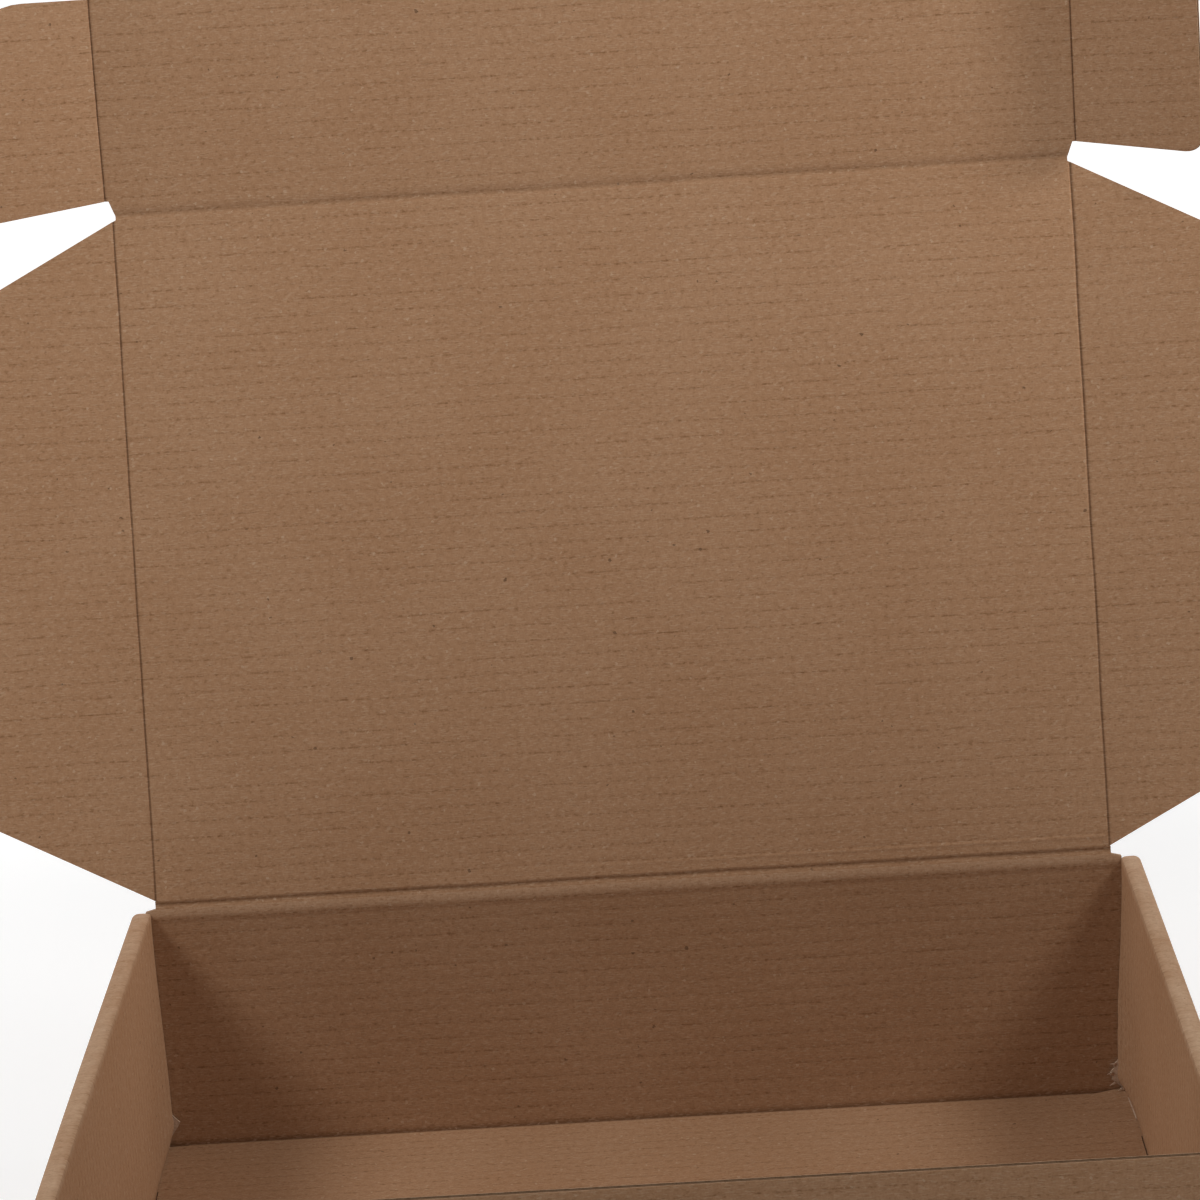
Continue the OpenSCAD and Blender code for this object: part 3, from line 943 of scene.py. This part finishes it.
def scrap(bm, outline, depth):
    """One torn scrap: an outline in space, pushed out to its thickness."""
    face = bm.faces.new([bm.verts.new(point) for point in outline])
    pushed = bmesh.ops.extrude_face_region(bm, geom=[face], use_keep_orig=True)["geom"]
    bmesh.ops.translate(bm, vec=depth, verts=[g for g in pushed if isinstance(g, bmesh.types.BMVert)])


def torn(name, build):
    """A piece made of scraps, in the finish of torn paper."""
    bm = bmesh.new()
    build(bm)
    bmesh.ops.triangulate(bm, faces=bm.faces)
    mark(bm)
    made = finish(name, bm, Matrix.Identity(4))
    made.data.materials.clear()
    made.data.materials.append(TORN)
    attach(made, "tray")


def right_scraps(bm):
    """The ragged nib, its fibres, and the fuzz along the foot of the inner panel."""
    scrap(bm, [(x, NIB_Y + 0.25 * sin(3 * z), z) for x, z in RIGHT_NIB], (0, -SCRAP, 0))
    for i, fibre in enumerate(FIBRES):
        scrap(bm, [(x, SIDE_Y - 1.2 - 0.3 * i, z) for x, z in fibre], (0, -FIBRE_THICK, 0))
    foot = [(SIDE_Y - 3 - 1.5 * i, PANEL_LOW + 0.5 + 0.9 * abs(ripple(i, 0, 1.7, 5))) for i in range(17)]
    edge = [(y, PANEL_LOW) for y in (foot[-1][0], foot[0][0])]
    scrap(bm, [(PANEL_X - push_in(1, y, z) + 0.1, y, z) for y, z in foot + edge], (-FUZZ, 0, 0))


torn("left_nib", lambda bm: scrap(bm, [(-x, NIB_Y, z) for x, z in LEFT_NIB], (0, -SCRAP, 0)))
torn("right_nib", right_scraps)

# %% [markdown]
# ## The lid and its flaps
# The lid leans back behind the upright. Its panels are flat boards that stop a little short of each crease,
# because the creases themselves have to bend when the box is closed and are made as pieces of their own.
# Just above the lid's crease, a faint ridge grows towards the right.

# %% Places of the lid's panels
def about(at, matrix):
    """A turn about a place other than the origin."""
    return Matrix.Translation(at) @ matrix @ Matrix.Translation(-Vector(at))


def from_hinge(lean):
    """The plane through the lid's hinge that leans back by an angle, with the sheet's V as its length."""
    stand_up = Matrix.Rotation(pi / 2 - radians(lean), 4, "X")
    return Matrix.Translation((0, HINGE_Y, HINGE_Z)) @ stand_up @ Matrix.Translation((0, -V_LID, 0))


ON_STRIP = from_hinge(STRIP_LEAN)
ON_LID = from_hinge(LID_LEAN)
ON_TUCK = ON_LID @ about((0, V_TUCK, 0), Matrix.Rotation(radians(TUCK_FOLD), 4, "X"))


def turned(place, side, at, angle):
    """The plane of a flap that is folded inwards about a crease at a U station."""
    return place @ about((side * at, 0, 0), Matrix.Rotation(-side * radians(angle), 4, "Y"))


print("top of the lid at", [round(c, 1) for c in ON_LID @ Vector((0, V_TUCK, 0))])

# %% Lid
RIDGE, RIDGE_AT, RIDGE_WIDE = 0.16, V_LID + 5.4, 0.7
lid_from, lid_to = V_LID + HINGE_CUT, V_TUCK - HINGE_CUT


def lid_warp(u, v):
    """A faint bow of the whole panel with a few soft waves, and none of it at the creases."""
    r = (v - V_LID) / LID_D
    hold = hump(u / LID_X) * max(0, sin(pi * r))
    return hold * (-0.7 + 0.45 * ripple(u, v, 150, 1) + 0.08 * ripple(u, v, 35, 2))


bm = blank((-LID_X, LID_X), (lid_from, lid_to), 28)
score(bm, "v", [V_LID + 4 + 0.5 * i for i in range(7)])
cut_out(bm, both_ends([(LID_X, lid_from), (LID_X, lid_to)]))
thicken(bm)
mark(bm)
for v in bm.verts:
    ridge = RIDGE * bell(v.co.y - RIDGE_AT, RIDGE_WIDE) * min(1, max(0, (v.co.x + 60) / 160))
    v.co.z += ridge if v.co.z > 0 else 0
lift(bm, lid_warp)
stand("lid", "lid_panel", finish("lid", bm, ON_LID))

# %% [markdown]
# ## The side flaps
# Each side flap has free cut edges on all sides but one. Its ends are cut at a slant so that they clear the
# corners, and its free edge curls inwards by about a millimetre, as board does when it has been creased.

# %% Side flaps
FLAP_ROUND = 4
CURL, FLAP_WAVE = 1.3, 0.5


def dust_flap(side):
    """A side flap, drawn for the right side of the lid."""
    start = lambda d: V_LID + DUST_LOW + d * DUST_TAPER
    stop = lambda d: V_TUCK - DUST_INSET - d * DUST_TAPER
    root, tip = DUST_X + HINGE_CUT, DUST_X + DUST_W
    low, high = (tip, start(DUST_W)), (tip, stop(DUST_W))
    first, last = (root, start(HINGE_CUT)), (root, stop(HINGE_CUT))
    end = corner(first, low, high, FLAP_ROUND) + corner(low, high, last, FLAP_ROUND)
    rim = [first, *end, last]
    bm = blank(sorted((side * root, side * tip)), (first[1], last[1]), 12)
    cut_out(bm, to_side(rim, side))
    thicken(bm)
    open_edges(bm, lambda c: abs(c.x) > root + 0.05)
    wavy_strip(bm, to_side(rim, side))
    mark(bm)
    reach = lambda u: (abs(u) - root) / (tip - root)
    lift(bm, lambda u, v: CURL * reach(u) ** 2 + FLAP_WAVE * reach(u) * ripple(u, v, 60, 11 + side))
    return finish(SIDE_NAME[side] + "_side_flap", bm, turned(ON_LID, side, DUST_X, DUST_FOLD))


for side in (-1, 1):
    stand(SIDE_NAME[side] + "_dust", SIDE_NAME[side] + "_dust_flap", dust_flap(side))

# %% [markdown]
# ## The tuck flap and its ears
# The tuck flap goes down inside the front wall, and its ears go in along the side walls. Its lower corners
# are cut back at a slant, which leaves a notch beside each side flap. An ear's free end is rounded, widely
# at the top, so that it finds its way into the tray.

# %% Tuck flap
TUCK_CREASE_SHADE = 0.34
tuck_from, tuck_to = V_TUCK + HINGE_CUT, V_TUCK + TUCK_LEN
tuck_low = TUCK_ROOT + (TUCK_X - TUCK_ROOT) * HINGE_CUT / EAR_RELIEF


def tuck_warp(u, v):
    """A slight bow with soft waves, and none of it at the crease and the ends."""
    waves = 0.45 + 0.5 * ripple(u, v, 110, 21) + 0.12 * ripple(u, v, 30, 22)
    return waves * hump(u / TUCK_X) * min(1, (v - tuck_from) / 30)


bm = blank((-TUCK_X, TUCK_X), (tuck_from, tuck_to), 28)
cut_out(bm, both_ends([(tuck_low, tuck_from), (TUCK_X, V_TUCK + EAR_RELIEF), (TUCK_X, tuck_to)]))
thicken(bm)
open_edges(bm, lambda c: c.y > tuck_to - 0.05)
wavy_strip(bm, [(TUCK_X - 0.5, tuck_to), (0.5 - TUCK_X, tuck_to)])
mark(bm)
# Painted shade in a soft band just above the tuck flap's crease.
shade(bm, lambda u, v, z: TUCK_CREASE_SHADE * bell(v - V_TUCK - 2, 1.9) if z > 0 else 0)
lift(bm, tuck_warp)
stand("tuck", "tuck_flap", finish("tuck_panel", bm, ON_TUCK))

# %% Ears
EAR_ROUND, EAR_WIDE_ROUND = 6, 26


def tuck_ear(side):
    """An ear, drawn for the right end of the tuck flap."""
    root, tip = EAR_X + HINGE_CUT, EAR_X + EAR_LEN
    low_v, high_v = V_TUCK + EAR_RELIEF, V_TUCK + TUCK_LEN - EAR_END
    first, last = (root, low_v - HINGE_CUT * EAR_SLANT), (root, high_v)
    low, high = (tip, low_v - EAR_LEN * EAR_SLANT), (tip, high_v)
    end = corner(first, low, high, EAR_ROUND) + corner(low, high, last, EAR_WIDE_ROUND, 10)
    rim = [first, *end, last]
    bm = blank(sorted((side * root, side * tip)), (low[1], high_v), 8)
    cut_out(bm, to_side(rim, side))
    thicken(bm)
    open_edges(bm, lambda c: abs(c.x) > root + 0.05)
    wavy_strip(bm, to_side(rim, side))
    mark(bm)
    return finish(SIDE_NAME[side] + "_ear", bm, turned(ON_TUCK, side, EAR_X, EAR_FOLD[side]))


for side in (-1, 1):
    stand(SIDE_NAME[side] + "_ear", SIDE_NAME[side] + "_tuck_ear", tuck_ear(side))

# %% [markdown]
# ## Creases that turn
# A crease is where the board was crushed along a line: a groove on the inside, a slight swelling outside.
# Each crease is a narrow strip of board that belongs to two panels.

# %% Creases
SWELLING = 0.12
CREASE_SWAY = 0.3


def crease(name, bodies, place, axis, at, outline, angle, depth, width, dark=1.0):
    """A strip of board over a crease at a U or V station. angle is the fold that it stands at."""
    us, vs = [p[0] for p in outline], [p[1] for p in outline]
    bm = blank((min(us), max(us)), (min(vs), max(vs)), 12 if axis == "u" else 28)
    if axis == "v":
        score(bm, "v", [at + HINGE_CUT * i / 6 for i in range(-5, 6)])
    cut_out(bm, outline)
    thicken(bm)
    mark(bm)
    way = -1 if at < 0 else 1
    off = lambda u, v: way * ((u if axis == "u" else v) - at)
    sway = lambda u, v: off(u, v) + CREASE_SWAY * ripple(u, v, 28, at)
    columns = {}
    for v in bm.verts:
        columns.setdefault(round(off(v.co.x, v.co.y), 3), []).append(v)
        v.co.z -= (depth if v.co.z > 0 else SWELLING) * bell(sway(v.co.x, v.co.y), width)
    # Painted shade along the crease's groove; dark sets how much.
    painted_shade = lambda u, v: dark * (1 + 0.5 * ripple(u, v, 19, 3)) * bell(sway(u, v), width)
    shade(bm, lambda u, v, z: painted_shade(u, v) if z > 0 else 0)
    for d, verts in columns.items():
        t = min(1, max(0, d / HINGE_CUT / 2 + 0.5))
        share = radians(angle) * t * t * (3 - 2 * t)
        if axis == "u":
            cent, turn = (at, 0, 0), Matrix.Rotation(-way * share, 3, "Y")
        else:
            cent, turn = (0, at, 0), Matrix.Rotation(share, 3, "X")
        bmesh.ops.rotate(bm, cent=cent, matrix=turn, verts=verts)
    if axis == "u":
        ends = [Vector((at + way * s * HINGE_CUT, sum(vs) / len(vs), 0)) for s in (-1, 1)]
    else:
        ends = [Vector((0, at + s * HINGE_CUT, 0)) for s in (-1, 1)]
    made = finish(name, bm, place)
    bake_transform(made, *bodies, *(place @ end * MM for end in ends))


notched = [(HINGE_END, -HINGE_CUT), (HINGE_END, DUST_LOW - 0.1), (LID_X, DUST_LOW - 0.1), (LID_X, HINGE_CUT)]
crease("lid_crease", ("tray", "lid"), ON_STRIP, "v", V_LID, [(u, V_LID + v) for u, v in both_ends(notched)],
       STRIP_LEAN - LID_LEAN, 0.45, 0.95, 0.75)
tucked = [(TUCK_ROOT, -HINGE_CUT), (TUCK_ROOT, 0), (tuck_low, HINGE_CUT)]
crease("tuck_crease", ("lid", "tuck"), ON_LID, "v", V_TUCK, [(u, V_TUCK + v) for u, v in both_ends(tucked)],
       TUCK_FOLD, 0.3, 1.2, 0.3)

# %% Creases of the side flaps and ears
for side in (-1, 1):
    body = SIDE_NAME[side]
    low, high, slant = V_LID + DUST_LOW, V_TUCK - DUST_INSET, HINGE_CUT * DUST_TAPER
    root = DUST_X + HINGE_CUT
    run = [(LID_X, low), (DUST_X, low), (root, low + slant), (root, high - slant), (DUST_X, high),
           (TUCK_ROOT, V_TUCK - HINGE_CUT), (LID_X, V_TUCK - HINGE_CUT)]
    crease(body + "_side_crease", ("lid", body + "_dust"), ON_LID, "u", side * DUST_X, to_side(run, side),
           DUST_FOLD, 0.6, 0.45)
    low, high = V_TUCK + EAR_RELIEF, V_TUCK + TUCK_LEN - EAR_END
    root = EAR_X + HINGE_CUT
    run = [(TUCK_X, low), (EAR_X, low), (root, low - HINGE_CUT * EAR_SLANT), (root, high), (TUCK_X, high)]
    crease(body + "_ear_crease", ("tuck", body + "_ear"), ON_TUCK, "u", side * EAR_X, to_side(run, side),
           EAR_FOLD[side], 0.6, 0.45)

# %% [markdown]
# ## The floor of the studio
# A pale floor takes the box's shadow. Where it is seen it also glows, so that it reads as white: less near
# the box, where the shadow lies, and more far away, where the lamps do not reach.

# %% Studio floor
STUDIO_SIZE = 12
NEAR, NEAR_GLOW = 0.45, 0.38
FAR, FAR_GLOW = 1.5, 1.0
bm = bmesh.new()
bmesh.ops.create_grid(bm, x_segments=1, y_segments=1, size=STUDIO_SIZE)
mesh = bpy.data.meshes.new("studio_floor")
bm.to_mesh(mesh)
bm.free()
ground = bpy.data.objects.new("studio_floor", mesh)
bpy.context.scene.collection.objects.link(ground)
pale, tree = empty_finish("studio_white")
spot = node(tree, "TexCoord").outputs["Object"]
away = node(tree, "VectorMath", {0: spot}, operation="LENGTH").outputs["Value"]
strength = fade(tree, away, NEAR, FAR, NEAR_GLOW, FAR_GLOW)
glow = node(tree, "Emission", {"Color": (1, 1, 1, 1), "Strength": strength})
matt = node(tree, "BsdfDiffuse", {"Color": (0.8, 0.8, 0.8, 1)})
both = node(tree, "AddShader", {0: glow.outputs[0], 1: matt.outputs[0]})
pick = node(tree, "MixShader", {0: seen_white(tree), 1: matt.outputs[0], 2: both.outputs[0]})
node(tree, "OutputMaterial", {0: pick.outputs[0]})
mesh.materials.append(pale)
print("pieces:", len(made_pieces))

# %% [markdown]
# ## Triangles
# The dressed box has to keep the size of the solid model. This last cell counts its triangles.

# %% Triangles
bpy.context.view_layer.update()
print("triangles:", sum(len(p.vertices) - 2 for o in made_pieces for p in o.data.polygons))
